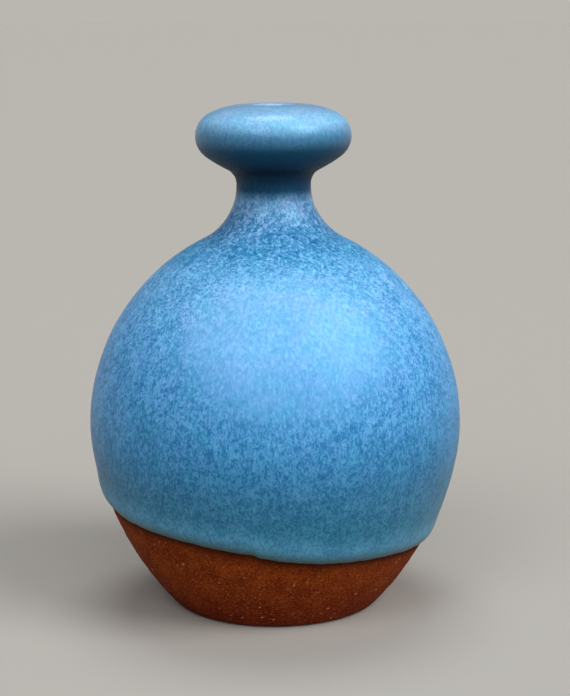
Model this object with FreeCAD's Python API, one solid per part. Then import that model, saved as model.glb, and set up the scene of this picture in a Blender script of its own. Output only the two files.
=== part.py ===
"""A wheel-thrown stoneware bud vase: a clay body, the coat of glaze on its outside and the coat on its inside.

Millimetres and degrees. +Z is up, on the wheel's axis, and the origin is the middle of the foot, on the
surface that the vase stands on. -Y is the front. Every solid is turned from one outline in the XZ plane, a
chain of tangent arcs. A coat of glaze lies between that outline and the same arcs moved out by its thickness.
"""

import os
from collections import namedtuple
from math import acos, atan2, cos, degrees, radians, sin, sqrt

import FreeCAD, Part

# Coats of glaze.
GLAZE = 0.6  # thickness of both coats
GLAZE_EDGE_ROUND = 0.4  # rounding of the outer coat's lower edge
GLAZE_LINE_HEIGHT = 18.5  # where the outer coat's lower edge crosses the axis
GLAZE_LINE_TILT = 7.5  # the vase was dipped at this angle
GLAZE_LINE_LOW_SIDE = 11.2  # the edge hangs lowest at this angle from +X towards the front

# The clay's outside, from the foot to the lip. Its glaze adds GLAZE all over.
HEIGHT = 103.1  # with the glaze
FOOT_RADIUS = 22.8
FOOT_EDGE_ROUND = 3.0
BELLY_RADIUS = 37.7
BELLY_HEIGHT = 38.0
WALL_START = -10.9  # below this angle the belly runs on in a flatter arc to the foot
SHOULDER_RADIUS = 42.5
SHOULDER_START = 8.3  # above this angle the belly runs on in the shoulder's arc
SHOULDER_FLARE = 13.0  # hollow arc from the shoulder into the neck
NECK_FLARE = 13.3  # hollow arc up to the neck's narrowest place
NECK_FLARE_ANGLE = 27.0
NECK_RADIUS = 6.95
COLLAR_HOLLOW = 3.8  # hollow arc from the neck out to the rim
RIM_UNDERSIDE = 29.8
RIM_NOSE = 4.5
RIM_RADIUS = 15.25
RIM_HEIGHT = 96.8  # of the nose
LIP_CREST_RADIUS = 5.4  # the rim's highest circle, inside which the lip rolls down into the throat

# The clay's inside and underside.
THROAT_RADIUS = 3.5  # with the glaze
THROAT_FLARE = 8.0  # from the throat out into the chamber
WALL_THICKNESS = 4.2
FLOOR_THICKNESS = 6.0
FLOOR_CORNER = 15.0
RECESS_RADIUS = 16.0  # the trimmed recess in the underside, inside the foot ring
RECESS_DEPTH = 1.5
RECESS_BEVEL = 1.2

# coat is 1 where a coat of glaze makes the arc's radius larger, and -1 where it makes it smaller.
Stretch = namedtuple("Stretch", "centre radius start end coat")


def along(angle):
    """The unit vector at an angle in the outline's plane, counted from outwards, and positive upwards."""
    return FreeCAD.Vector(cos(radians(angle)), 0, sin(radians(angle)))


def angle_of(vector):
    return degrees(atan2(vector.z, vector.x))


def at(radius, height):
    return FreeCAD.Vector(radius, 0, height)


def level_with(centre, x, distance, upwards):
    """The point at x that is this far from centre, above it or below it."""
    rise = sqrt(distance**2 - (x - centre.x) ** 2)
    return at(x, centre.z + (rise if upwards else -rise))


def outside():
    """The clay's outside as stretches, from the foot ring up over the rim and round the lip to the throat."""
    foot = at(FOOT_RADIUS - FOOT_EDGE_ROUND, FOOT_EDGE_ROUND)
    belly = at(0, BELLY_HEIGHT)

    # The wall's arc leaves the belly at WALL_START and ends tangent to the foot's edge.
    to_foot = belly - foot + along(WALL_START) * BELLY_RADIUS
    wall_radius = (to_foot.dot(to_foot) - FOOT_EDGE_ROUND**2) / (
        2 * (to_foot.dot(along(WALL_START)) - FOOT_EDGE_ROUND)
    )
    wall = belly - along(WALL_START) * (wall_radius - BELLY_RADIUS)
    foot_angle = angle_of(foot - wall)

    # The flare touches the shoulder from outside, and the neck's own flare carries it on to the narrowest place.
    shoulder = belly - along(SHOULDER_START) * (SHOULDER_RADIUS - BELLY_RADIUS)
    flare_turn = 180 + NECK_FLARE_ANGLE
    flare_step = along(flare_turn) * (NECK_FLARE - SHOULDER_FLARE)
    flare = level_with(
        shoulder, NECK_RADIUS + NECK_FLARE + flare_step.x, SHOULDER_FLARE + SHOULDER_RADIUS, True
    )
    neck = flare - flare_step
    shoulder_end = angle_of(flare - shoulder)

    # The underside of the rim touches the collar's hollow from outside and holds the nose.
    collar = at(NECK_RADIUS + COLLAR_HOLLOW, neck.z)
    nose = at(RIM_RADIUS - RIM_NOSE, RIM_HEIGHT)
    from_collar, from_nose = COLLAR_HOLLOW + RIM_UNDERSIDE, RIM_UNDERSIDE - RIM_NOSE
    apart = (nose - collar).Length
    corner = degrees(acos((from_collar**2 + apart**2 - from_nose**2) / (2 * from_collar * apart)))
    collar_end = angle_of(nose - collar) + corner
    underside = collar + along(collar_end) * from_collar

    # The top's arc touches the nose and is level at the lip's crest.
    crest = HEIGHT - GLAZE
    rise, run = crest - RIM_HEIGHT, nose.x - LIP_CREST_RADIUS
    top_radius = (run**2 + rise**2 - RIM_NOSE**2) / (2 * (rise - RIM_NOSE))
    top = at(LIP_CREST_RADIUS, crest - top_radius)
    lip_radius = LIP_CREST_RADIUS - THROAT_RADIUS - GLAZE

    return [
        Stretch(foot, FOOT_EDGE_ROUND, -90, foot_angle, 1),
        Stretch(wall, wall_radius, foot_angle, WALL_START, 1),
        Stretch(belly, BELLY_RADIUS, WALL_START, SHOULDER_START, 1),
        Stretch(shoulder, SHOULDER_RADIUS, SHOULDER_START, shoulder_end, 1),
        Stretch(flare, SHOULDER_FLARE, shoulder_end + 180, flare_turn, -1),
        Stretch(neck, NECK_FLARE, flare_turn, 180, -1),
        Stretch(collar, COLLAR_HOLLOW, 180, collar_end, -1),
        Stretch(underside, RIM_UNDERSIDE, collar_end - 180, angle_of(nose - underside), 1),
        Stretch(nose, RIM_NOSE, angle_of(nose - underside), angle_of(nose - top), 1),
        Stretch(top, top_radius, angle_of(nose - top), 90, 1),
        Stretch(at(LIP_CREST_RADIUS, crest - lip_radius), lip_radius, 90, 180, 1),
    ]


def inside(outer):
    """The clay's inside as stretches, from the throat's lower end down to the flat floor."""
    wall, belly, shoulder = outer[1:4]
    shoulder_radius = shoulder.radius - WALL_THICKNESS
    bore = THROAT_RADIUS + GLAZE
    flare = level_with(shoulder.centre, bore + THROAT_FLARE, shoulder_radius + THROAT_FLARE, True)
    shoulder_end = angle_of(flare - shoulder.centre)
    wall_radius = wall.radius - WALL_THICKNESS
    corner_height = FLOOR_THICKNESS + FLOOR_CORNER
    reach = wall_radius - FLOOR_CORNER
    corner = at(wall.centre.x + sqrt(reach**2 - (corner_height - wall.centre.z) ** 2), corner_height)
    corner_start = angle_of(corner - wall.centre)
    return [
        Stretch(flare, THROAT_FLARE, 180, shoulder_end + 180, 1),
        Stretch(shoulder.centre, shoulder_radius, shoulder_end, SHOULDER_START, -1),
        Stretch(belly.centre, belly.radius - WALL_THICKNESS, SHOULDER_START, WALL_START, -1),
        Stretch(wall.centre, wall_radius, WALL_START, corner_start, -1),
        Stretch(corner, FLOOR_CORNER, corner_start, -90, -1),
    ]


def arcs(stretches, coat=0.0):
    """The stretches as edges, moved out from the clay by the thickness of a coat."""
    edges = []
    for stretch in stretches:
        radius = stretch.radius + stretch.coat * coat
        angles = (stretch.start, (stretch.start + stretch.end) / 2, stretch.end)
        edges.append(Part.Arc(*(stretch.centre + along(angle) * radius for angle in angles)).toShape())
    return edges


def start_of(edge):
    return edge.valueAt(edge.FirstParameter)


def end_of(edge):
    return edge.valueAt(edge.LastParameter)


def length_of(edge):
    return edge.Length


def joined(*points):
    """Straight edges from point to point."""
    return [Part.makeLine(a, b) for a, b in zip(points, points[1:])]


def turned(edges):
    """The solid that a closed outline leaves as the wheel turns."""
    face = Part.Face(Part.Wire(Part.__sortEdges__(edges)))
    return face.revolve(FreeCAD.Vector(0, 0, 0), FreeCAD.Vector(0, 0, 1), 360)


def clay_body(outer, inner):
    """The thrown and trimmed pot: hollow, with a foot ring round a shallow recess."""
    outer_edges, inner_edges = arcs(outer), arcs(inner)
    underside = joined(
        at(0, FLOOR_THICKNESS),
        at(0, RECESS_DEPTH),
        at(RECESS_RADIUS - RECESS_BEVEL, RECESS_DEPTH),
        at(RECESS_RADIUS, 0),
        start_of(outer_edges[0]),
    )
    throat = joined(end_of(outer_edges[-1]), start_of(inner_edges[0]))
    floor = joined(end_of(inner_edges[-1]), at(0, FLOOR_THICKNESS))
    return turned(underside + outer_edges + throat + inner_edges + floor)


def below_glaze_line():
    """A block that fills the space under the outer coat's tilted lower edge."""
    reach = 2 * BELLY_RADIUS
    block = Part.makeBox(2 * reach, 2 * reach, reach, FreeCAD.Vector(-reach, -reach, -reach))
    block.rotate(FreeCAD.Vector(0, 0, 0), FreeCAD.Vector(0, 1, 0), GLAZE_LINE_TILT)
    block.rotate(FreeCAD.Vector(0, 0, 0), FreeCAD.Vector(0, 0, 1), -GLAZE_LINE_LOW_SIDE)
    block.translate(FreeCAD.Vector(0, 0, GLAZE_LINE_HEIGHT))
    return block


def outer_glaze(outer, throat_end):
    """The coat that covers the outside above the glaze line, the rim, and the throat down to throat_end."""
    coated, clay = outer[1:], arcs(outer[1:])
    surface = arcs(coated, GLAZE)
    lower_end = joined(start_of(clay[0]), start_of(surface[0]))
    bore = THROAT_RADIUS + GLAZE
    throat = joined(
        end_of(surface[-1]), at(THROAT_RADIUS, throat_end), at(bore, throat_end), end_of(clay[-1])
    )
    coat = turned(clay + lower_end + surface + throat).cut(below_glaze_line())

    # Of the edges that are not level, the longest is the outer one of the two that the cut left.
    cut_edge = max((edge for edge in coat.Edges if edge.BoundBox.ZLength > GLAZE), key=length_of)
    return coat.makeFillet(GLAZE_EDGE_ROUND, [cut_edge]).Solids[0]


def liner_glaze(inner):
    """The coat that makes the chamber watertight, from the throat's lower end to the middle of the floor."""
    clay, surface = arcs(inner), arcs(inner, GLAZE)
    upper_end = joined(start_of(clay[0]), start_of(surface[0]))
    floor = joined(
        end_of(clay[-1]),
        at(0, FLOOR_THICKNESS),
        at(0, FLOOR_THICKNESS + GLAZE),
        end_of(surface[-1]),
    )
    return turned(clay + upper_end + surface + floor)


def main():
    os.makedirs("parts", exist_ok=True)
    outer = outside()
    inner = inside(outer)
    solids = {
        "clay_body": clay_body(outer, inner),
        "outer_glaze": outer_glaze(outer, inner[0].centre.z),
        "liner_glaze": liner_glaze(inner),
    }
    for name, solid in solids.items():
        solid.exportStep(f"parts/{name}.step")
        box = solid.BoundBox
        print(
            f"{name}: {solid.ShapeType}, valid {solid.isValid()}, {solid.Volume / 1000:.2f} cm3, "
            f"{box.XLength:.2f} x {box.YLength:.2f} x {box.ZLength:.2f} mm"
        )
    print(f"throat: {outer[-1].centre.z:.2f} down to {inner[0].centre.z:.2f} mm")


if __name__ == "__main__":
    main()
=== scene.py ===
"""The looks of a wheel-thrown stoneware bud vase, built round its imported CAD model.

The clay and its outer coat of glaze are turned again as fine meshes from the CAD's own outline, with the
grit, trimming marks and wavy rolled glaze edge that a plain solid can't hold. Outline sizes are in
millimetres and degrees, and its points are r + iz in the complex plane. Blender's own sizes are in metres,
and so are the frame's.
"""

from cmath import phase, rect
from math import acos, ceil, cos, degrees, inf, pi, radians, sin, sqrt

import bpy
import numpy as np
from mathutils import Matrix, Vector, noise


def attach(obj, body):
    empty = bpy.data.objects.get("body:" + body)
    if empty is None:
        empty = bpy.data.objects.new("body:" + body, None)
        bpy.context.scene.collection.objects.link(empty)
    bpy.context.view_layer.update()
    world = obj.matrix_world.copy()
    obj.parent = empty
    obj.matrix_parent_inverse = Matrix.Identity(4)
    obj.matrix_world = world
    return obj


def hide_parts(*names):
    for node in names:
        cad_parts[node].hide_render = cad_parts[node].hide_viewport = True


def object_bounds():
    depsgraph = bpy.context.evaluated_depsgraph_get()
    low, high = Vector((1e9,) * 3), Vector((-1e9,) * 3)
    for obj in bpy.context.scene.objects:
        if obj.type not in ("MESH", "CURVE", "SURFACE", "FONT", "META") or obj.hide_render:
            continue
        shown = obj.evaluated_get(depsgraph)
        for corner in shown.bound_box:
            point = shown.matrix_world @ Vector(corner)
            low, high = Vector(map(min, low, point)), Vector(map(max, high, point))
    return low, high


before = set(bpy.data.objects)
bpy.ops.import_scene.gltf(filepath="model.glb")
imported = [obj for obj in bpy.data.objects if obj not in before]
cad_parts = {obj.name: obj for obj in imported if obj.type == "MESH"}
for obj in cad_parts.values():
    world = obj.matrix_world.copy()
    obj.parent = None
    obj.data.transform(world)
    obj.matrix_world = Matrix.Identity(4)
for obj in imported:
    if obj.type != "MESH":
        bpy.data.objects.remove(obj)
cad_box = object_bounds()

MM = 0.001
HEIGHT = cad_box[1].z / MM

# Outline of the clay, as in the CAD.
GLAZE = 0.6
FOOT_RADIUS = 22.8
FOOT_EDGE_ROUND = 3.0
BELLY_RADIUS = 37.7
BELLY_HEIGHT = 38.0
WALL_START = -10.9
SHOULDER_RADIUS = 42.5
SHOULDER_START = 8.3
SHOULDER_FLARE = 13.0
NECK_FLARE = 13.3
NECK_FLARE_ANGLE = 27.0
NECK_RADIUS = 6.95
COLLAR_HOLLOW = 3.8
RIM_UNDERSIDE = 29.8
RIM_NOSE = 4.5
RIM_RADIUS = 15.25
RIM_HEIGHT = 96.8
LIP_CREST_RADIUS = 5.4
THROAT_RADIUS = 3.5
THROAT_FLARE = 8.0
WALL_THICKNESS = 4.2
FLOOR_THICKNESS = 6.0
FLOOR_CORNER = 15.0
RECESS_RADIUS = 16.0
RECESS_DEPTH = 1.5
RECESS_BEVEL = 1.2
CORNER_WEAR = 0.5  # how far the corners under the foot are worn round

# The outer coat's lower edge. Angles round the vase run from the front (-Y), positive towards +X.
GLAZE_LINE_HEIGHT = 18.5
GLAZE_LINE_TILT = 7.5
GLAZE_LINE_LOWEST = 78.8  # the angle round the vase at which the tilted line hangs lowest
LINE_PASSES = 4  # the line's height and the vase's radius there agree after this many passes
WAVE_HEIGHT = 0.28
WAVES_AROUND = 5
LAP_ANGLE = -6.5  # two pours of glaze lap here: the edge climbs up to this angle, and then drops
LAP_DROP = 0.55
LAP_WIDTH = 0.5  # degrees over which it drops
LAP_FADE = 9.0  # degrees over which it climbs
RAGGED = [(9, 0.13), (31, 0.1)]  # the edge's small wanderings: how many to a radian, and how far
EDGE_ROLL = 2.2  # the edge rises to the full thickness over this distance
EDGE_BEAD = 0.3  # a bead runs along the edge, this much thicker than the coat
EDGE_BEAD_PLACE = 2.9  # and this far from the edge
EDGE_BEAD_WIDTH = 2.5
EDGE_BURIED = 0.2  # the coat's edge and back lie this deep in the clay, so that no gap shows

# The bare clay's relief: grains of grog, pits that others fell out of, and the lines left by trimming.
GRAIN_SPACING = 1.15
GRAIN_SIZE = 0.42
GRAIN_HEIGHT = 0.075
PIT_DEPTH = 0.11
GRAIN_ABOVE = 0.4  # each cell has a random kind from -1 to 1, and holds a grain above this
PIT_BELOW = -0.72  # or a pit below this
KIND_SEED = 7.3  # a cell's centre times this, or times the next, gives unrelated random numbers
SIZE_SEED = 11.9
SIZE_OFFSET = (5, 5, 5)
SIZE_MEAN = 0.55  # sizes run from SIZE_MEAN - SIZE_SPREAD to SIZE_MEAN + SIZE_SPREAD, times GRAIN_SIZE
SIZE_SPREAD = 0.45
TRIM_DRIFT = 0.012  # how fast the lines change across the vase
BROAD_TRIM = 0.45  # and how fast the broad and the fine ones change along its outline
FINE_TRIM = 1.9
FINE_OFFSET = 9  # keeps the fine lines unlike the broad ones
BROAD_DEPTH = 0.07
FINE_DEPTH = 0.035

# The outer coat's slow changes of thickness: rings left by the thrower's fingers, and pools where it ran.
RING_DRIFT = 0.015  # how fast the rings change across the vase
RINGS = 0.22  # and upwards
RING_DEPTH = 0.05
POOLS = 0.11  # how fast the pools change in any direction
POOL_DEPTH = 0.05

# Mesh spacings.
PATH_STEP = 0.05
AROUND = 440  # points round the vase; a few more would take the clay past 200,000 triangles
CLAY_FINE_STEP = 0.3
CLAY_HIDDEN_STEP = 3.0
CLAY_RECESS_STEP = 0.6
COVERED_MARGIN = 1.5  # the clay stays fine this far under the coat's edge
SMOOTH_MIDDLE = 3.0  # the relief fades in over this distance from the middle of the underside
RESTING_HEIGHT = 0.3  # below this height nothing stands proud, so that the foot rests level
RELIEF_FADE = 8.0  # the coat's thickness settles over this distance from its two edges
BACK_ROWS = 24  # rows on the side of the coat that lies against the clay
BACK_START = 0.004  # the lowest of them is this share of the way from the edge to the throat
# The rows on the coat's face are this far apart, up to each distance from its lower edge.
FACE_STEPS = [
    (EDGE_ROLL, 0.12),
    (4.0, 0.4),
    (75.0, 1.2),
    (inf, 0.85),
]

# The camera stands in front of the vase and looks down on it. Its place is in metres, its turns are in
# degrees, and its lens is in millimetres.
CAMERA_DISTANCE = 0.357
CAMERA_HEIGHT = 0.12
CAMERA_PITCH = 10.62
CAMERA_YAW = 0.337
CAMERA_ROLL = 0.338
FOCAL_LENGTH = 90.85
SENSOR_WIDTH = 36
NEAREST_SEEN = 0.01  # metres


# ---- the outline ----

def along(angle):
    """A step of 1 in this direction, which is in degrees."""
    return rect(1, radians(angle))


def angle_of(point):
    """The direction of this point from 0, in degrees."""
    return degrees(phase(point))


def level_with(centre, r, distance):
    """The point at radius r that is this far from centre, above it."""
    return complex(r, centre.imag + sqrt(distance**2 - (r - centre.real) ** 2))


def arc(centre, radius, start, end):
    """Points PATH_STEP apart along an arc."""
    count = max(2, ceil(radius * abs(radians(end - start)) / PATH_STEP))
    angles = np.radians(np.linspace(start, end, count, endpoint=False))
    return centre + radius * np.exp(1j * angles)


def line(start, end):
    """Points PATH_STEP apart along a straight line."""
    count = max(2, ceil(abs(end - start) / PATH_STEP))
    return start + (end - start) * np.linspace(0, 1, count, endpoint=False)


def clay_outline():
    """The clay's outline as dense points, from the middle of the underside out, up over the rim, down the
    throat and round the chamber to the middle of the floor. Also the counts of points at which its
    underneath, its outside and its throat end."""
    foot = complex(FOOT_RADIUS - FOOT_EDGE_ROUND, FOOT_EDGE_ROUND)
    belly = 1j * BELLY_HEIGHT
    leave = along(WALL_START)
    to_foot = belly - foot + leave * BELLY_RADIUS
    dot = (to_foot * leave.conjugate()).real
    wall_radius = (abs(to_foot) ** 2 - FOOT_EDGE_ROUND**2) / (2 * (dot - FOOT_EDGE_ROUND))
    wall = belly - leave * (wall_radius - BELLY_RADIUS)
    foot_angle = angle_of(foot - wall)

    shoulder = belly - along(SHOULDER_START) * (SHOULDER_RADIUS - BELLY_RADIUS)
    flare_turn = 180 + NECK_FLARE_ANGLE
    flare_step = along(flare_turn) * (NECK_FLARE - SHOULDER_FLARE)
    flare_r = NECK_RADIUS + NECK_FLARE + flare_step.real
    flare = level_with(shoulder, flare_r, SHOULDER_FLARE + SHOULDER_RADIUS)
    neck = flare - flare_step
    shoulder_end = angle_of(flare - shoulder)

    collar = complex(NECK_RADIUS + COLLAR_HOLLOW, neck.imag)
    nose = complex(RIM_RADIUS - RIM_NOSE, RIM_HEIGHT)
    from_collar = COLLAR_HOLLOW + RIM_UNDERSIDE
    from_nose = RIM_UNDERSIDE - RIM_NOSE
    apart = abs(nose - collar)
    corner = degrees(acos((from_collar**2 + apart**2 - from_nose**2) / (2 * from_collar * apart)))
    collar_end = angle_of(nose - collar) + corner
    underside = collar + along(collar_end) * from_collar
    nose_start = angle_of(nose - underside)

    crest = HEIGHT - GLAZE
    rise = crest - RIM_HEIGHT
    run = nose.real - LIP_CREST_RADIUS
    top_radius = (run**2 + rise**2 - RIM_NOSE**2) / (2 * (rise - RIM_NOSE))
    top = complex(LIP_CREST_RADIUS, crest - top_radius)
    nose_end = angle_of(nose - top)
    bore = THROAT_RADIUS + GLAZE
    lip_radius = LIP_CREST_RADIUS - bore
    lip = complex(LIP_CREST_RADIUS, crest - lip_radius)

    inner_shoulder = SHOULDER_RADIUS - WALL_THICKNESS
    throat_flare = level_with(shoulder, bore + THROAT_FLARE, inner_shoulder + THROAT_FLARE)
    inner_end = angle_of(throat_flare - shoulder)
    inner_wall = wall_radius - WALL_THICKNESS
    floor_height = FLOOR_THICKNESS + FLOOR_CORNER
    reach = inner_wall - FLOOR_CORNER
    floor_r = wall.real + sqrt(reach**2 - (floor_height - wall.imag) ** 2)
    floor_corner = complex(floor_r, floor_height)
    floor_start = angle_of(floor_corner - wall)

    recess_edge = complex(RECESS_RADIUS - RECESS_BEVEL, RECESS_DEPTH)
    underneath = np.concatenate([
        line(1j * RECESS_DEPTH, recess_edge),
        line(recess_edge, RECESS_RADIUS + 0j),
        line(RECESS_RADIUS + 0j, foot.real + 0j),
    ])
    outside = np.concatenate([
        arc(foot, FOOT_EDGE_ROUND, -90, foot_angle),
        arc(wall, wall_radius, foot_angle, WALL_START),
        arc(belly, BELLY_RADIUS, WALL_START, SHOULDER_START),
        arc(shoulder, SHOULDER_RADIUS, SHOULDER_START, shoulder_end),
        arc(flare, SHOULDER_FLARE, shoulder_end + 180, flare_turn),
        arc(neck, NECK_FLARE, flare_turn, 180),
        arc(collar, COLLAR_HOLLOW, 180, collar_end),
        arc(underside, RIM_UNDERSIDE, collar_end - 180, nose_start),
        arc(nose, RIM_NOSE, nose_start, nose_end),
        arc(top, top_radius, nose_end, 90),
    ])
    throat = np.concatenate([
        arc(lip, lip_radius, 90, 180),
        line(complex(bore, lip.imag), complex(bore, throat_flare.imag)),
    ])
    chamber = np.concatenate([
        arc(throat_flare, THROAT_FLARE, 180, inner_end + 180),
        arc(shoulder, inner_shoulder, inner_end, SHOULDER_START),
        arc(belly, BELLY_RADIUS - WALL_THICKNESS, SHOULDER_START, WALL_START),
        arc(wall, inner_wall, WALL_START, floor_start),
        arc(floor_corner, FLOOR_CORNER, floor_start, -90),
        line(complex(floor_r, FLOOR_THICKNESS), 1j * FLOOR_THICKNESS),
    ])
    points = np.concatenate([underneath, outside, throat, chamber])
    marks = np.cumsum([len(underneath), len(outside), len(throat)])
    return points, marks


class Path:
    """A line of dense outline points, which can be read at any distance along it."""

    def __init__(self, points):
        self.points = points
        steps = np.abs(np.diff(points))
        self.place = np.concatenate([[0], np.cumsum(steps)])
        tangent = np.gradient(points)
        self.normal = -1j * tangent / np.abs(tangent)

    def at(self, place, offset=0.0):
        """Points at these distances along the line, moved out of the clay by offset."""
        return self._read(self.points, place) + self._read(self.normal, place) * offset

    def _read(self, values, place):
        return np.interp(place, self.place, values.real) + 1j * np.interp(place, self.place, values.imag)


def worn(points):
    """The same line with its corners rounded by CORNER_WEAR, and its ends kept."""
    half = int(CORNER_WEAR / PATH_STEP)
    padded = np.concatenate([[points[0]] * half, points, [points[-1]] * half])
    return np.convolve(padded, np.ones(2 * half + 1) / (2 * half + 1), "valid")


# ---- meshes ----

def turned_mesh(name, rows, closed, attributes):
    """A mesh from rows of points round the axis. rows is an array [row, angle, xyz] in millimetres, and
    attributes are arrays [row, angle] by name. A closed mesh joins its last row to its first, and any
    other ends at both ends in a point on the axis."""
    count, around = rows.shape[:2]
    points = rows.reshape(-1, 3)
    index = np.arange(count * around).reshape(count, around)
    upper = np.roll(index, -1, axis=0) if closed else index[1:]
    lower = index if closed else index[:-1]
    quads = np.stack([lower, np.roll(lower, -1, 1), np.roll(upper, -1, 1), upper], axis=-1).reshape(-1, 4)
    faces = quads.tolist()
    if not closed:
        poles = rows[[0, -1]].mean(axis=1)
        poles[:, :2] = 0
        points = np.concatenate([points, poles])
        first, last = count * around, count * around + 1
        ring = index[0].tolist()
        faces += [(first, b, a) for a, b in zip(ring, ring[1:] + ring[:1])]
        ring = index[-1].tolist()
        faces += [(last, a, b) for a, b in zip(ring, ring[1:] + ring[:1])]
    mesh = bpy.data.meshes.new(name)
    mesh.from_pydata((points * MM).tolist(), [], faces)
    mesh.shade_smooth()
    for label, values in attributes.items():
        flat = np.zeros(len(points), np.float32)  # the points on the axis keep 0
        flat[: values.size] = values.ravel()
        mesh.attributes.new(label, "FLOAT", "POINT").data.foreach_set("value", flat)
    mesh.update()
    piece = bpy.data.objects.new(name, mesh)
    bpy.context.scene.collection.objects.link(piece)
    return piece


def around_axis(points, angles):
    """Outline points [row] or [row, angle] as places [row, angle, xyz]. Angle 0 is the front."""
    points = points if points.ndim == 2 else points[:, None]
    r, z = points.real, points.imag
    x, y = r * np.sin(angles), -r * np.cos(angles)
    return np.stack([x, y, np.broadcast_to(z, x.shape)], axis=-1)


def even_angles(count):
    return np.linspace(0, 2 * pi, count, endpoint=False)


def sampled(function, points):
    """function of each point, as an array with the points' shape."""
    flat = points.reshape(-1, 3)
    return np.array([function(Vector(p)) for p in flat]).reshape(points.shape[:-1])


def glaze_line(angles, outside):
    """Height of the outer coat's lower edge at these angles: a tilted line, waves, and the lap's step."""
    turn = np.degrees(angles)
    slope = np.tan(radians(GLAZE_LINE_TILT)) * np.cos(angles - radians(GLAZE_LINE_LOWEST))
    from_lap = (turn - LAP_ANGLE + 180) % 360 - 180
    waves = -WAVE_HEIGHT * np.sin(np.radians(from_lap) * WAVES_AROUND)
    step = LAP_DROP * (1 - np.tanh(from_lap / LAP_WIDTH)) / 2 * np.exp(-np.abs(from_lap) / LAP_FADE)
    height = np.full_like(angles, GLAZE_LINE_HEIGHT)
    for _ in range(LINE_PASSES):
        radius = np.interp(height, outside.imag, outside.real)
        height = GLAZE_LINE_HEIGHT - slope * radius
    ring = np.stack([np.cos(angles), np.sin(angles), np.zeros_like(angles)], axis=-1)
    ragged = sampled(lambda p: sum(noise.noise(p * often) * far for often, far in RAGGED), ring)
    return height + waves + step + ragged


def grit(point):
    """From -1, in the middle of a pit, to 1, on top of a grain of grog."""
    distances, centres = noise.voronoi(point / GRAIN_SPACING)
    kind = noise.cell(centres[0] * KIND_SEED)
    spread = SIZE_SPREAD * noise.cell(centres[0] * SIZE_SEED + Vector(SIZE_OFFSET))
    size = GRAIN_SIZE * (SIZE_MEAN + spread) / GRAIN_SPACING
    dome = max(0.0, 1 - (distances[0] / size) ** 2)
    if kind > GRAIN_ABOVE:
        return dome
    if kind < PIT_BELOW:
        return -dome
    return 0.0


def trimming(point, place):
    """Height of the lines that the trimming tool left, nearly level all the way round. place is the
    distance along the outline."""
    drift = Vector((point.x * TRIM_DRIFT, point.y * TRIM_DRIFT, 0))
    broad = noise.noise(drift + Vector((0, 0, place * BROAD_TRIM)))
    fine = noise.noise(drift * 2 + Vector((FINE_OFFSET, 0, place * FINE_TRIM)))
    return BROAD_DEPTH * broad + FINE_DEPTH * fine


def clay_piece(points, marks, edge_places):
    """The clay body: fine where it shows, and coarse under the glaze and inside. edge_places are the
    distances along the outside at which the outer coat starts, at each angle."""
    foot_end = marks[0] + int(FOOT_EDGE_ROUND / PATH_STEP)
    path = Path(np.concatenate([worn(points[:foot_end]), points[foot_end:]]))
    edge_places = edge_places + Path(points[: marks[0] + 1]).place[-1]
    covered_from = edge_places.max() + COVERED_MARGIN
    recess = np.arange(CLAY_RECESS_STEP, RECESS_RADIUS - RECESS_BEVEL, CLAY_RECESS_STEP)
    fine = np.concatenate([recess, np.arange(recess[-1] + CLAY_FINE_STEP, covered_from, CLAY_FINE_STEP)])
    coarse = np.arange(covered_from, path.place[-1] - CLAY_FINE_STEP, CLAY_HIDDEN_STEP)
    places = np.concatenate([fine, coarse])
    angles = even_angles(AROUND)
    smooth = around_axis(path.at(places), angles)
    grains = np.zeros(smooth.shape[:2])
    grains[: len(fine)] = sampled(grit, smooth[: len(fine)])
    relief = np.where(grains > 0, GRAIN_HEIGHT, PIT_DEPTH) * grains
    for row in range(len(fine)):
        relief[row] += [trimming(Vector(p), places[row]) for p in smooth[row]]
    relief *= np.clip(places / SMOOTH_MIDDLE, 0, 1)[:, None]
    resting = path.at(places).imag[:, None] < RESTING_HEIGHT
    relief = np.where(resting, np.minimum(relief, 0), relief)
    rows = around_axis(path.at(places[:, None], relief), angles)
    below = np.abs(edge_places - places[:, None])
    return turned_mesh("vase_clay", rows, False, {"grit": grains, "below_glaze": below})


def face_places(total):
    """Where the rows on the coat's face lie, as shares of its total length from the edge to the throat."""
    places = [0.0]
    while places[-1] < total:
        step = next(step for reach, step in FACE_STEPS if places[-1] < reach)
        places.append(places[-1] + step)
    return np.array(places) / places[-1]


def glaze_relief(point):
    """How much thicker the coat is at this point than its mean."""
    rings = noise.noise(Vector((point.x * RING_DRIFT, point.y * RING_DRIFT, point.z * RINGS)))
    pools = noise.noise(point * POOLS)
    return RING_DEPTH * rings + POOL_DEPTH * pools


def glaze_piece(points, marks, edge_places):
    """The outer coat: a shell with a rolled, wavy lower edge, over the rim and down the throat."""
    path = Path(points[marks[0] : marks[2]])
    end = path.place[-1]
    angles = even_angles(AROUND)
    places = edge_places + (end - edge_places) * face_places(end - edge_places.min())[:, None]
    run = places - edge_places
    rolled = np.sqrt(1 - (1 - np.clip(run / EDGE_ROLL, 0, 1)) ** 2)
    bead = EDGE_BEAD * np.exp(-(((run - EDGE_BEAD_PLACE) / EDGE_BEAD_WIDTH) ** 2))
    thickness = -EDGE_BURIED + (GLAZE + EDGE_BURIED) * rolled + bead * rolled
    smooth = around_axis(path.at(places), angles)
    fade = np.clip(run / RELIEF_FADE, 0, 1) * np.clip((end - places) / RELIEF_FADE, 0, 1)
    thickness += sampled(glaze_relief, smooth) * fade
    face = around_axis(path.at(places, thickness), angles)
    back_places = edge_places + (end - edge_places) * np.linspace(1, BACK_START, BACK_ROWS)[:, None]
    back = around_axis(path.at(back_places, -EDGE_BURIED), angles)
    rows = np.concatenate([face, back])
    runs = np.concatenate([run, back_places - edge_places])
    return turned_mesh("vase_glaze", rows, True, {"run": runs})


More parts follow.
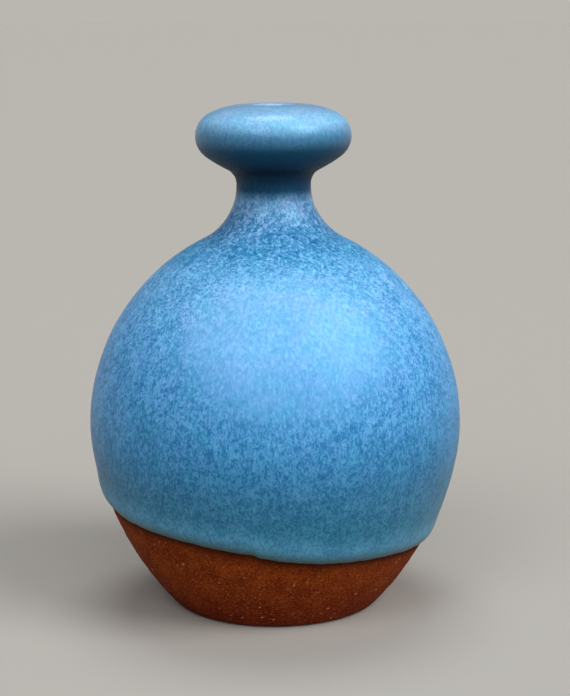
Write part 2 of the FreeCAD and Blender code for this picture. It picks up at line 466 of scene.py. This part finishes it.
def turned_pieces(points, marks):
    """The clay and its outer coat, which share the coat's lower edge."""
    outside = points[marks[0] : marks[1]]
    climbing = outside[: int(np.argmax(outside.real))]
    heights = glaze_line(even_angles(AROUND), climbing)
    edge_places = np.interp(heights, climbing.imag, Path(climbing).place)
    return clay_piece(points, marks, edge_places), glaze_piece(points, marks, edge_places)


# ---- materials ----

def colour(red, green, blue):
    """A display colour, 0 to 255, as the linear colour that shaders take."""
    def linear(value):
        value /= 255
        return value / 12.92 if value <= 0.04045 else ((value + 0.055) / 1.055) ** 2.4
    return (linear(red), linear(green), linear(blue), 1.0)


def grey(value):
    return (value, value, value, 1.0)


def add(tree, kind, inputs=None, output=0, **settings):
    """A new node's output. Inputs are values or other nodes' outputs."""
    node = tree.nodes.new("ShaderNode" + kind)
    for name, value in settings.items():
        setattr(node, name, value)
    for name, value in (inputs or {}).items():
        if isinstance(value, bpy.types.NodeSocket):
            tree.links.new(value, node.inputs[name])
        else:
            node.inputs[name].default_value = value
    return node.outputs[output]


def compute(tree, operation, a, b=0.0):
    return add(tree, "Math", {0: a, 1: b}, operation=operation)


def weighted(tree, parts):
    """The sum of (node output, weight) pairs."""
    total = 0.0
    for value, weight in parts:
        total = compute(tree, "ADD", compute(tree, "MULTIPLY", value, weight), total)
    return total


def remap(tree, value, low, high, to_low=0.0, to_high=1.0):
    """value eased from the range low to high to the range to_low to to_high, and held beyond its ends."""
    inputs = {"Value": value, "From Min": low, "From Max": high, "To Min": to_low, "To Max": to_high}
    return add(tree, "MapRange", inputs, interpolation_type="SMOOTHSTEP")


def mix(tree, share, a, b, blend="MIX"):
    """a with this share of b over it."""
    return add(tree, "Mix", {0: share, 6: a, 7: b}, output=2, data_type="RGBA", blend_type=blend)


def by_height(tree, height, stops):
    """A colour ramp over (height in millimetres, colour)."""
    node = tree.nodes.new("ShaderNodeValToRGB")
    tree.links.new(compute(tree, "DIVIDE", height, HEIGHT), node.inputs[0])
    elements = node.color_ramp.elements
    while len(elements) < len(stops):
        elements.new(0.5)
    for element, (z, tint) in zip(elements, stops):
        element.position = z / HEIGHT
        element.color = tint
    return node.outputs[0]


def grey_by_height(tree, height, stops):
    """A ramp over (height in millimetres, number from 0 to 1)."""
    return by_height(tree, height, [(z, grey(value)) for z, value in stops])


def new_material(name):
    """A material's node tree, its place in millimetres, its height, and its shader."""
    material = bpy.data.materials.new(name)
    material.use_nodes = True
    tree = material.node_tree
    shader = tree.nodes["Principled BSDF"]
    metres = add(tree, "TexCoord", output=3)
    place = add(tree, "VectorMath", {0: metres, 3: 1 / MM}, operation="SCALE")
    height = add(tree, "SeparateXYZ", {0: place}, output=2)
    return material, tree, place, height, shader


def spots(tree, place, size, detail=2.0, offset=(0, 0, 0), stretch=1.0, roughness=0.5):
    """Noise whose blotches are about size millimetres across, and stretch times as long upwards. Each noise
    of a material has its own offset, so that no two are alike."""
    moved = add(tree, "Mapping", {0: place, "Location": offset, "Scale": (1, 1, 1 / stretch)})
    inputs = {"Vector": moved, "Scale": 0.5 / size, "Detail": detail, "Roughness": roughness}
    return add(tree, "TexNoise", inputs)


def fading(tree, value, strength, start, end):
    """strength as far as start, fading to nothing at end."""
    return remap(tree, value, start, end, strength, 0.0)


def carried(tree, name):
    """A number that the mesh carries at each of its points."""
    return add(tree, "Attribute", output=2, attribute_name=name)


def emboss(tree, shader, relief, strength, depth):
    """Relief too fine for the mesh, depth millimetres deep."""
    bump = add(tree, "Bump", {"Strength": strength, "Distance": depth * MM, "Height": relief})
    tree.links.new(bump, shader.inputs["Normal"])


# The outer coat's mean colour, by height in millimetres. It is matched to how the vase looks in soft
# daylight, so it is partly
# painted light and shade: painted shade round the neck, darkest under the rim, and painted highlights low on
# the neck and on the rim's top.
GLAZE_COLOURS_AND_PAINTED_LIGHT = [
    (17.0, (42, 115, 144)),
    (30.0, (55, 121, 165)),
    (36.0, (61, 136, 190)),
    (44.0, (80, 158, 220)),
    (52.0, (93, 170, 236)),
    (60.0, (107, 183, 248)),
    (68.5, (117, 190, 250)),
    (75.0, (92, 177, 238)),
    (81.0, (113, 167, 222)),
    (84.0, (113, 161, 207)),
    (86.0, (0, 61, 99)),
    (90.0, (0, 0, 16)),
    (94.5, (0, 59, 86)),
    (97.2, (81, 134, 176)),
    (100.0, (153, 210, 255)),
    (103.0, (148, 190, 234)),
]
# How strongly its freckles show, by height.
FRECKLES = [
    (18.0, 0.55),
    (26.0, 0.72),
    (36.0, 0.72),
    (48.0, 0.82),
    (70.0, 0.85),
    (75.0, 0.9),
    (81.0, 0.85),
    (86.0, 0.6),
    (94.0, 0.3),
]
# How strongly its pale crystals show, by height.
CRYSTALS = [
    (72.0, 0.9),
    (78.0, 0.7),
    (88.0, 0.5),
    (96.0, 0.25),
]
# How strongly its coarse pale and dark flakes show, by height. They gather in a ring round the neck's foot.
FLAKES = [
    (70.5, 0.0),
    (74.5, 0.55),
    (79.0, 0.5),
    (83.0, 0.2),
    (86.0, 0.0),
]
# Its roughness, by height.
ROUGHNESS = [
    (74.0, 0.42),
    (84.0, 0.27),
    (88.0, 0.6),
    (93.0, 0.6),
    (97.0, 0.27),
    (102.0, 0.22),
]

# The mean colour is multiplied by these.
CRYSTAL = (1.55, 1.28, 1.14, 1)
FRECKLE = (0.02, 0.38, 0.52, 1)
BETWEEN_FRECKLES = (1.75, 1.27, 1.16, 1)
DARK_FLAKE = (0.1, 0.52, 0.62, 1)
PALE_FLAKE = (1.8, 1.32, 1.2, 1)
TEAL_PATCH = (0.9, 1.01, 0.98, 1)
COBALT_PATCH = (1.08, 0.99, 1.01, 1)
# The painted highlight's tint, and a darker one for the coat away from it, which paints shade on the belly's
# flanks.
PAINTED_HIGHLIGHT_TINT = (1.18, 1.03, 0.99, 1)
AWAY_FROM_HIGHLIGHT_TINT = (0.82, 0.95, 0.97, 1)

# Round here, on the front of the belly, a highlight is painted: the coat is paler and its speckle weaker, as
# it looks where soft light falls on it.
PAINTED_HIGHLIGHT_CENTRE = (3, -37, 59)
PAINTED_HIGHLIGHT_REACH = (23, 30, 14)
LEAST_AWAY_FROM_HIGHLIGHT = 0.3

# The coat's colours along its lower edge.
BAND = colour(98, 163, 198)
BAND_STREAK = colour(68, 134, 174)
THIN_EDGE = colour(64, 86, 82)
BARE_MARGIN = colour(40, 24, 14)

GLAZE_GLOSS = 0.5
GLOSS_TINT = (0.36, 0.76, 1.0, 1.0)  # bluer than a real glaze's gloss, so that bright places stay deep blue


def away_from_painted_highlight(tree, place):
    """How far from the painted highlight on the front of the belly: the least at its centre, and 1 a little
    past its reach.
    """
    away = add(tree, "VectorMath", {0: place, 1: PAINTED_HIGHLIGHT_CENTRE}, operation="SUBTRACT")
    away = add(tree, "VectorMath", {0: away, 1: PAINTED_HIGHLIGHT_REACH}, operation="DIVIDE")
    distance = add(tree, "VectorMath", {0: away}, output=1, operation="LENGTH")
    return remap(tree, distance, low=0.6, high=1.3, to_low=LEAST_AWAY_FROM_HIGHLIGHT)


def glaze_colour(tree, place, height, pale, freckled):
    """The coat's colour away from its edge: pale crystals, darker freckles, flakes, slow patches, and
    painted light and shade.
    """
    body = by_height(tree, height, [(z, colour(*tint)) for z, tint in GLAZE_COLOURS_AND_PAINTED_LIGHT])
    strength = grey_by_height(tree, height, CRYSTALS)
    crystalline = compute(tree, "MULTIPLY", remap(tree, pale, low=0.44, high=0.58), strength)
    body = mix(tree, crystalline, body, CRYSTAL, "MULTIPLY")

    # The freckles show less in the painted highlight.
    away_from_highlight = away_from_painted_highlight(tree, place)
    freckles = mix(tree, freckled, BETWEEN_FRECKLES, FRECKLE)
    strength = compute(tree, "MULTIPLY", away_from_highlight, grey_by_height(tree, height, FRECKLES))
    body = mix(tree, strength, body, freckles, "MULTIPLY")

    flaky = spots(tree, place, size=0.42, offset=(23, 5, 29), roughness=0.6)
    flakes = mix(tree, remap(tree, flaky, low=0.42, high=0.58), PALE_FLAKE, DARK_FLAKE)
    body = mix(tree, grey_by_height(tree, height, FLAKES), body, flakes, "MULTIPLY")

    patchy = spots(tree, place, size=1.8, offset=(19, 3, 11))
    patches = mix(tree, remap(tree, patchy, low=0.35, high=0.65), TEAL_PATCH, COBALT_PATCH)
    body = mix(tree, 1.0, body, patches, "MULTIPLY")
    # The painted highlight on the front of the belly, and the darker coat away from it.
    return mix(tree, 1.0, body, mix(tree, away_from_highlight, PAINTED_HIGHLIGHT_TINT, AWAY_FROM_HIGHLIGHT_TINT), "MULTIPLY")


def ragged_run(tree, parts):
    """The distance from the coat's lower edge, made ragged by (noise, millimetres) pairs."""
    return compute(tree, "ADD", carried(tree, "run"), weighted(tree, parts))


def glaze_edge(tree, body, freckled, crystals, blots, clouds, grain):
    """body with its lower edge laid over it: a paler, greener band, a thin stretch through which the clay
    shows, and a margin that is nearly bare."""
    streaked = mix(tree, freckled, BAND, BAND_STREAK)
    wavering = ragged_run(tree, [(crystals, 2.4), (clouds, 2.0)])
    body = mix(tree, fading(tree, wavering, strength=0.6, start=5.2, end=10.0), body, streaked)
    thinning = ragged_run(tree, [(crystals, 1.0), (blots, 0.6)])
    body = mix(tree, fading(tree, thinning, strength=1.0, start=0.8, end=4.6), body, THIN_EDGE)
    frayed = ragged_run(tree, [(blots, 1.2), (grain, 0.6)])
    return mix(tree, fading(tree, frayed, strength=0.9, start=0.8, end=1.4), body, BARE_MARGIN)


def glaze_material():
    """Satin blue glaze: fine pale crystals drawn out downwards, and darker freckles in clouds."""
    material, tree, place, height, shader = new_material("satin_blue_glaze")
    grain = spots(tree, place, size=0.2, detail=1.0, stretch=1.5)
    crystals = spots(tree, place, size=0.27, detail=1.5, offset=(31, 7, 3), stretch=2.6)
    blots = spots(tree, place, size=0.5, detail=4.0, offset=(3, 41, 9), stretch=1.4, roughness=0.85)
    clouds = spots(tree, place, size=2.2, detail=3.0, offset=(3, 17, 5), stretch=1.4)
    pale = weighted(tree, [(crystals, 0.6), (grain, 0.4)])
    dark = weighted(tree, [(blots, 0.5), (grain, 0.37), (clouds, 0.13)])
    freckled = remap(tree, dark, low=0.41, high=0.59)

    body = glaze_colour(tree, place, height, pale, freckled)
    body = glaze_edge(tree, body, freckled, crystals, blots, clouds, grain)
    tree.links.new(body, shader.inputs["Base Color"])

    varied = remap(tree, pale, low=0.35, high=0.65, to_low=0.9, to_high=1.1)
    satin = compute(tree, "MULTIPLY", varied, grey_by_height(tree, height, ROUGHNESS))
    tree.links.new(satin, shader.inputs["Roughness"])
    shader.inputs["Specular IOR Level"].default_value = GLAZE_GLOSS
    shader.inputs["Specular Tint"].default_value = GLOSS_TINT
    ripples = spots(tree, place, size=0.5, offset=(11, 13, 17))
    emboss(tree, shader, weighted(tree, [(ripples, 1.0), (crystals, 0.5)]), strength=0.35, depth=0.06)
    return material


CLAY_DARK = colour(112, 40, 2)
CLAY_LIGHT = colour(134, 58, 12)
CLAY_FOOT = colour(96, 18, 0)
PALE_SAND = colour(164, 98, 62)
DARK_SAND = colour(60, 10, 0)
GROG = colour(204, 146, 110)
# painted shade in the pits that grains of grog fell out of
PAINTED_PIT_SHADE = colour(40, 10, 0)
IRON = colour(44, 12, 4)
IRON_SPACING = 4 / 3  # millimetres from one iron speck to the next
PAINTED_SHADE_UNDER_GLAZE = colour(66, 18, 0)  # painted shade: the clay darkens towards the coat's edge, as in the shade of its overhang
HALO_AND_PAINTED_SHADE = colour(50, 16, 0)  # and more so right under it: partly a halo that the glaze leaves in the clay, partly painted shade
CLAY_ROUGHNESS = 0.85
CLAY_GLOSS = 0.08


def clay_material():
    """Bare red-brown stoneware: pale grog, dark iron specks, pits with painted shade, a sandy skin, and
    painted shade under the coat's edge.
    """
    material, tree, place, height, shader = new_material("bare_stoneware")
    clouds = spots(tree, place, size=2.2, detail=4.0)
    body = mix(tree, remap(tree, clouds, low=0.3, high=0.7), CLAY_DARK, CLAY_LIGHT)
    body = mix(tree, fading(tree, height, strength=0.6, start=1.0, end=13.0), body, CLAY_FOOT)
    sand = spots(tree, place, size=0.24, offset=(5, 3, 1), roughness=0.7)
    body = mix(tree, remap(tree, sand, low=0.54, high=0.74, to_high=0.75), body, PALE_SAND)
    body = mix(tree, fading(tree, sand, strength=0.85, start=0.28, end=0.48), body, DARK_SAND)

    grains = carried(tree, "grit")
    body = mix(tree, remap(tree, grains, low=0.2, high=0.8, to_high=0.9), body, GROG)
    body = mix(tree, fading(tree, grains, strength=0.8, start=-0.8, end=-0.1), body, PAINTED_PIT_SHADE)
    from_speck = add(tree, "TexVoronoi", {"Vector": place, "Scale": 1 / IRON_SPACING})
    body = mix(tree, fading(tree, from_speck, strength=0.8, start=0.1, end=0.2), body, IRON)

    # Painted shade on the clay towards the coat's edge, and a halo with painted shade right under it.
    below = carried(tree, "below_glaze")
    body = mix(tree, fading(tree, below, strength=0.45, start=0.5, end=5.0), body, PAINTED_SHADE_UNDER_GLAZE)
    body = mix(tree, fading(tree, below, strength=0.85, start=0.3, end=2.0), body, HALO_AND_PAINTED_SHADE)
    tree.links.new(body, shader.inputs["Base Color"])
    shader.inputs["Roughness"].default_value = CLAY_ROUGHNESS
    shader.inputs["Specular IOR Level"].default_value = CLAY_GLOSS
    emboss(tree, shader, sand, strength=0.6, depth=0.08)
    return material


LINER_DEEP = colour(90, 150, 180)
LINER_PALE = colour(150, 198, 214)
LINER_ROUGHNESS = 0.3


def liner_material():
    """The paler coat inside."""
    material, tree, place, _, shader = new_material("liner_glaze_inside")
    specks = spots(tree, place, size=0.5)
    body = mix(tree, remap(tree, specks, low=0.35, high=0.65), LINER_DEEP, LINER_PALE)
    tree.links.new(body, shader.inputs["Base Color"])
    shader.inputs["Roughness"].default_value = LINER_ROUGHNESS
    emboss(tree, shader, specks, strength=0.3, depth=0.05)
    return material


def dress(piece, node, material):
    """Give a piece its material, and put it in the place of its CAD node."""
    piece.data.materials.append(material)
    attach(piece, "root")
    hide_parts(node)


# ---- the set ----

FLOOR_REACH = 60.0  # metres from the vase to each side of the floor
FLOOR_COLOUR = (0.5, 0.475, 0.44, 1)
FLOOR_ROUGHNESS = 0.9
FLOOR_GLOSS = 0.1
WALL_LIGHT = (0.493, 0.471, 0.439, 1)  # round the horizon, as light as the floor looks
CEILING_LIGHT = (0.1, 0.105, 0.11, 1)
WALL_TOP = 0.02  # up to this sine of the elevation the light is the wall's
CEILING_EDGE = 0.2  # and from this one on it is the ceiling's

# Soft lamps: name, bearing from the front towards +X, elevation and apparent width in degrees, and strength.
LAMPS = [
    ("key_right", 57, 40, 34, 1.66),
    ("fill_left", -34, 43, 28, 0.5),
    ("front", 0, 42, 50, 0.75),
    ("low_right", 40, 15, 45, 0.25),
    ("overhead", 180, 75, 30, 0.85),
]


def place_floor():
    """A wide pale floor, which isn't part of the vase."""
    mesh = bpy.data.meshes.new("floor")
    sides = [(-1, -1), (1, -1), (1, 1), (-1, 1)]
    corners = [(FLOOR_REACH * x, FLOOR_REACH * y, 0) for x, y in sides]
    mesh.from_pydata(corners, [], [(0, 1, 2, 3)])
    floor = bpy.data.objects.new("floor", mesh)
    bpy.context.scene.collection.objects.link(floor)
    material = bpy.data.materials.new("pale_floor")
    material.use_nodes = True
    shader = material.node_tree.nodes["Principled BSDF"]
    shader.inputs["Base Color"].default_value = FLOOR_COLOUR
    shader.inputs["Roughness"].default_value = FLOOR_ROUGHNESS
    shader.inputs["Specular IOR Level"].default_value = FLOOR_GLOSS
    mesh.materials.append(material)


def place_lamp(name, bearing, elevation, width, strength):
    """A far lamp that looks width degrees wide, so its light and shadows are soft."""
    lamp = bpy.data.lights.new(name, "SUN")
    lamp.angle = radians(width)
    lamp.energy = strength
    light = bpy.data.objects.new(name, lamp)
    bpy.context.scene.collection.objects.link(light)
    bearing = radians(bearing)
    elevation = radians(elevation)
    level = cos(elevation)
    towards = Vector((sin(bearing) * level, -cos(bearing) * level, sin(elevation)))
    light.rotation_mode = "QUATERNION"
    light.rotation_quaternion = towards.to_track_quat("Z", "Y")


def place_world():
    """Pale walls all round, and a dimmer ceiling."""
    world = bpy.data.worlds.new("studio")
    world.use_nodes = True
    tree = world.node_tree
    direction = add(tree, "TexCoord")
    upwards = add(tree, "SeparateXYZ", {0: direction}, output=2)
    light = mix(tree, remap(tree, upwards, WALL_TOP, CEILING_EDGE), WALL_LIGHT, CEILING_LIGHT)
    background = tree.nodes["Background"]
    tree.links.new(light, background.inputs["Color"])
    background.inputs["Strength"].default_value = 1.0
    bpy.context.scene.world = world


def place_camera():
    """A long lens in front of the vase, a little above its rim."""
    lens = bpy.data.cameras.new("camera")
    lens.lens = FOCAL_LENGTH
    lens.sensor_width = SENSOR_WIDTH
    lens.clip_start = NEAREST_SEEN
    lens.clip_end = 2 * FLOOR_REACH
    camera = bpy.data.objects.new("camera", lens)
    bpy.context.scene.collection.objects.link(camera)
    turn = Matrix.Rotation(radians(-CAMERA_YAW), 4, "Z")
    pitch = Matrix.Rotation(radians(90 - CAMERA_PITCH), 4, "X")
    roll = Matrix.Rotation(radians(-CAMERA_ROLL), 4, "Z")
    stand = Matrix.Translation((0, -CAMERA_DISTANCE, CAMERA_HEIGHT))
    camera.matrix_world = stand @ turn @ pitch @ roll
    bpy.context.scene.camera = camera


def main():
    """The vase's three pieces, and then the set round them."""
    points, marks = clay_outline()
    clay, glaze = turned_pieces(points, marks)
    dress(clay, "clay_body", clay_material())
    dress(glaze, "outer_glaze", glaze_material())
    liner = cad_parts["liner_glaze"]
    liner.data.materials.clear()
    liner.data.materials.append(liner_material())

    place_floor()
    for lamp in LAMPS:
        place_lamp(*lamp)
    place_world()
    place_camera()
    bpy.context.scene.view_settings.view_transform = "Standard"


main()
